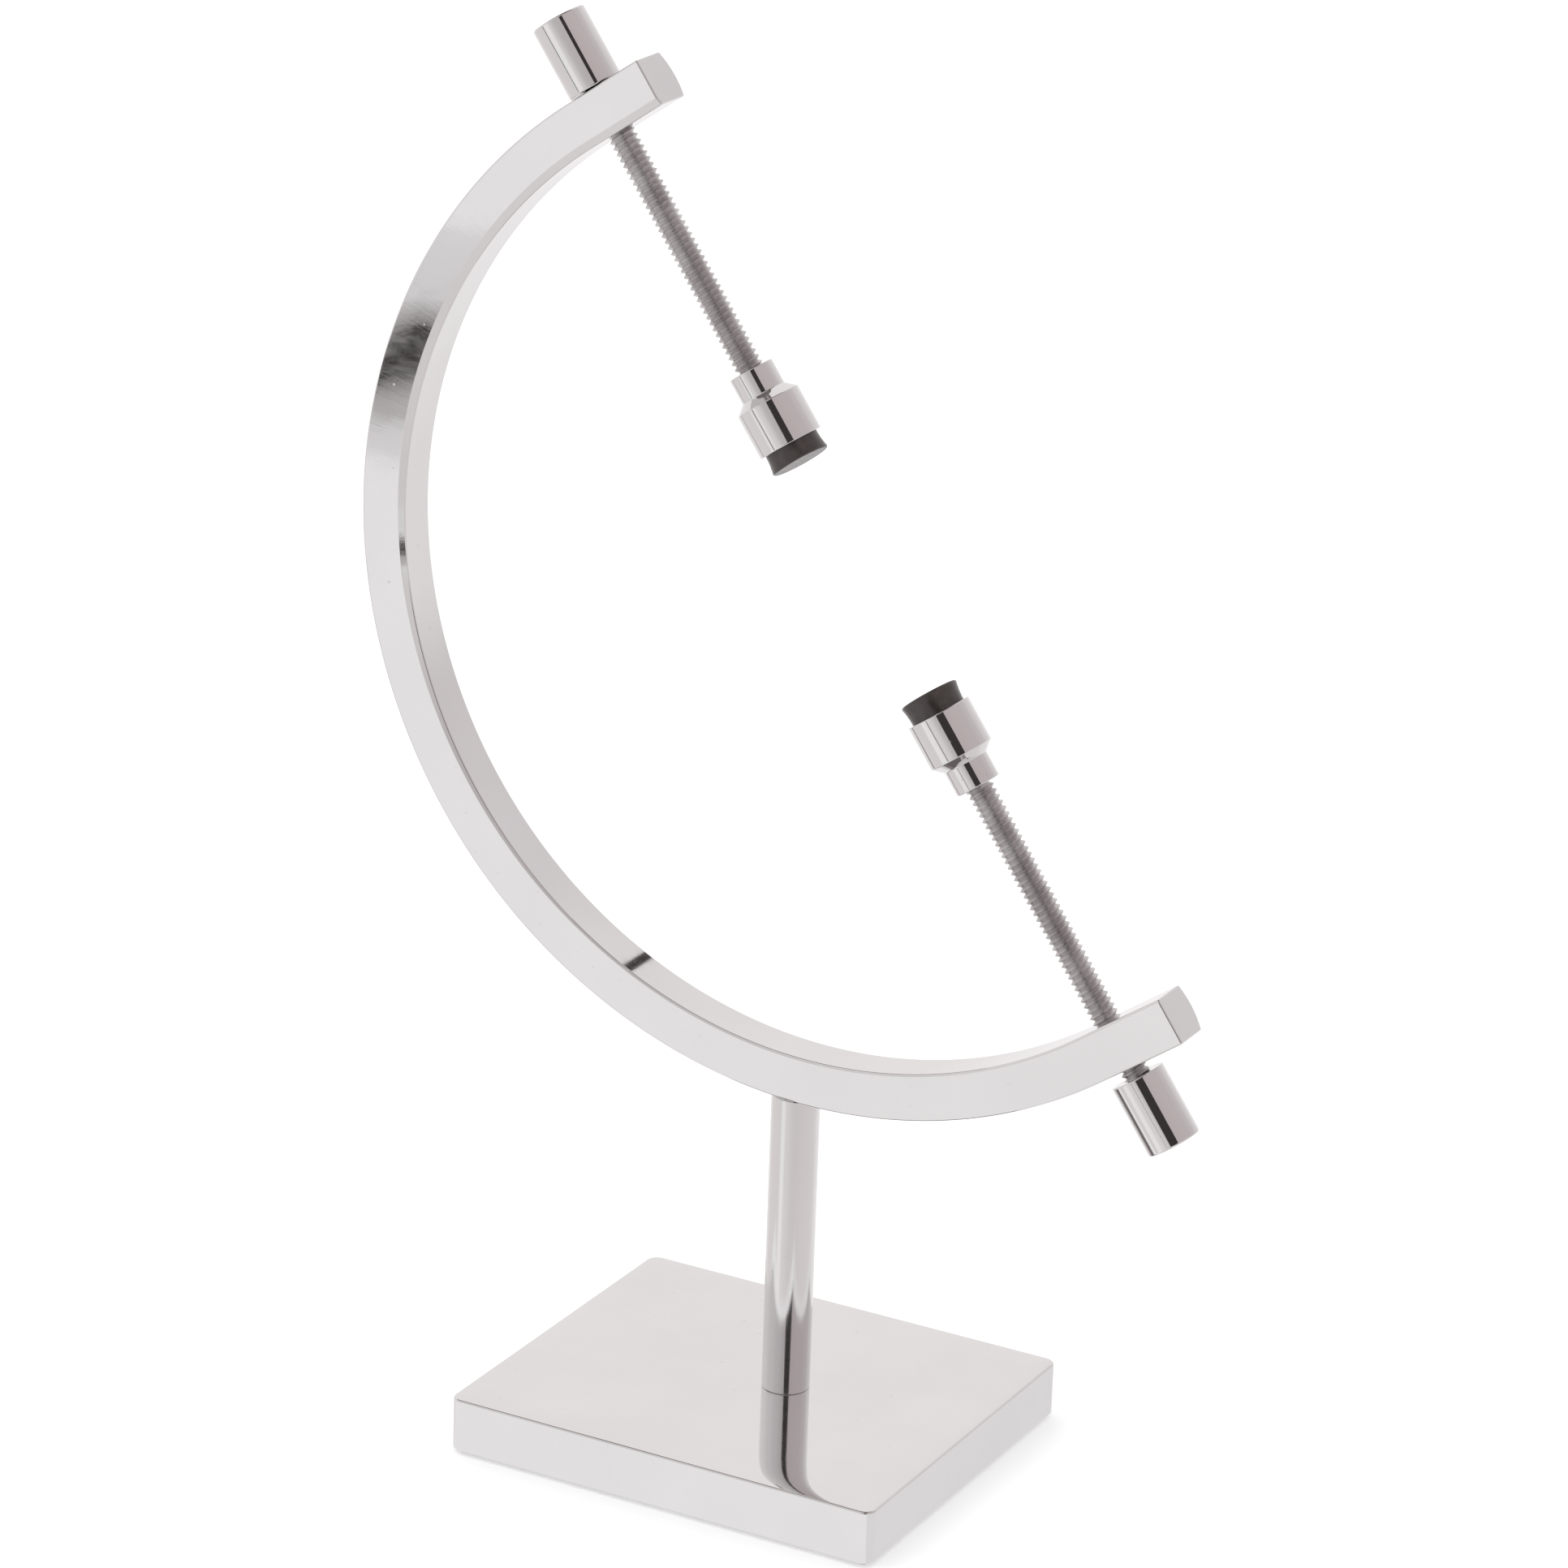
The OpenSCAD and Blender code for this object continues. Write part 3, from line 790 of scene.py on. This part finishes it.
def world_node(kind, *inputs, **settings):
    node = tree.nodes.new(kind)
    for key, value in settings.items():
        setattr(node, key, value)
    for index, value in enumerate(inputs):
        if isinstance(value, bpy.types.NodeSocket):
            tree.links.new(value, node.inputs[index])
        elif value is not None:
            node.inputs[index].default_value = value
    return node


def room_ramp(stops, share):
    ramp = world_node("ShaderNodeValToRGB", share)
    elements = ramp.color_ramp.elements
    ramp.color_ramp.interpolation = "EASE"
    while len(elements) < len(stops):
        elements.new(0.5)
    for element, (angle, *colour) in zip(elements, stops):
        element.position = (angle + 180) / 360
    for element, (angle, *colour) in zip(elements, stops):
        element.color = (*colour, 1)
    return ramp.outputs[0]


towards = world_node("ShaderNodeTexCoord").outputs["Generated"]
sideways = world_node("ShaderNodeVectorMath", towards, tuple(level_right),
                      operation="DOT_PRODUCT").outputs["Value"]
level_back = Vector((back.x, back.y, 0)).normalized()
frontways = world_node("ShaderNodeVectorMath", towards, tuple(level_back),
                       operation="DOT_PRODUCT").outputs["Value"]
turn = world_node("ShaderNodeMath", sideways, frontways, operation="ARCTAN2").outputs[0]
share = world_node("ShaderNodeMapRange", turn, -math.pi, math.pi, 0.0, 1.0).outputs[0]
rise = world_node("ShaderNodeSeparateXYZ", towards).outputs["Z"]
upward = world_node("ShaderNodeMapRange", rise, -0.14, 0.16, 0.0, 1.0,
                    interpolation_type="SMOOTHSTEP").outputs[0]
blend = world_node("ShaderNodeMix", data_type="RGBA")
tree.links.new(upward, blend.inputs[0])
tree.links.new(room_ramp(ROOM_LOW, share), blend.inputs[6])
tree.links.new(room_ramp(ROOM_HIGH, share), blend.inputs[7])
room = world_node("ShaderNodeBackground", blend.outputs[2])
backdrop = world_node("ShaderNodeBackground", (1, 1, 1, 1))
# reflections see the room, and everything else sees a white backdrop
mirrored = world_node("ShaderNodeLightPath").outputs["Is Glossy Ray"]
choose = world_node("ShaderNodeMixShader", mirrored, backdrop.outputs[0], room.outputs[0])
world_node("ShaderNodeOutputWorld", choose.outputs[0])

key_data = bpy.data.lights.new("key", "AREA")
key_data.shape = "RECTANGLE"
key_data.size, key_data.size_y = 1.2, 1.2
key_data.energy = 3
key = bpy.data.objects.new("key", key_data)
key.location = Vector((-0.6, -0.5, 1.5))
key.rotation_euler = (Vector((0, 0, 0.1)) - key.location).to_track_quat("-Z", "Y").to_euler()
key.visible_glossy = False
scene.collection.objects.link(key)
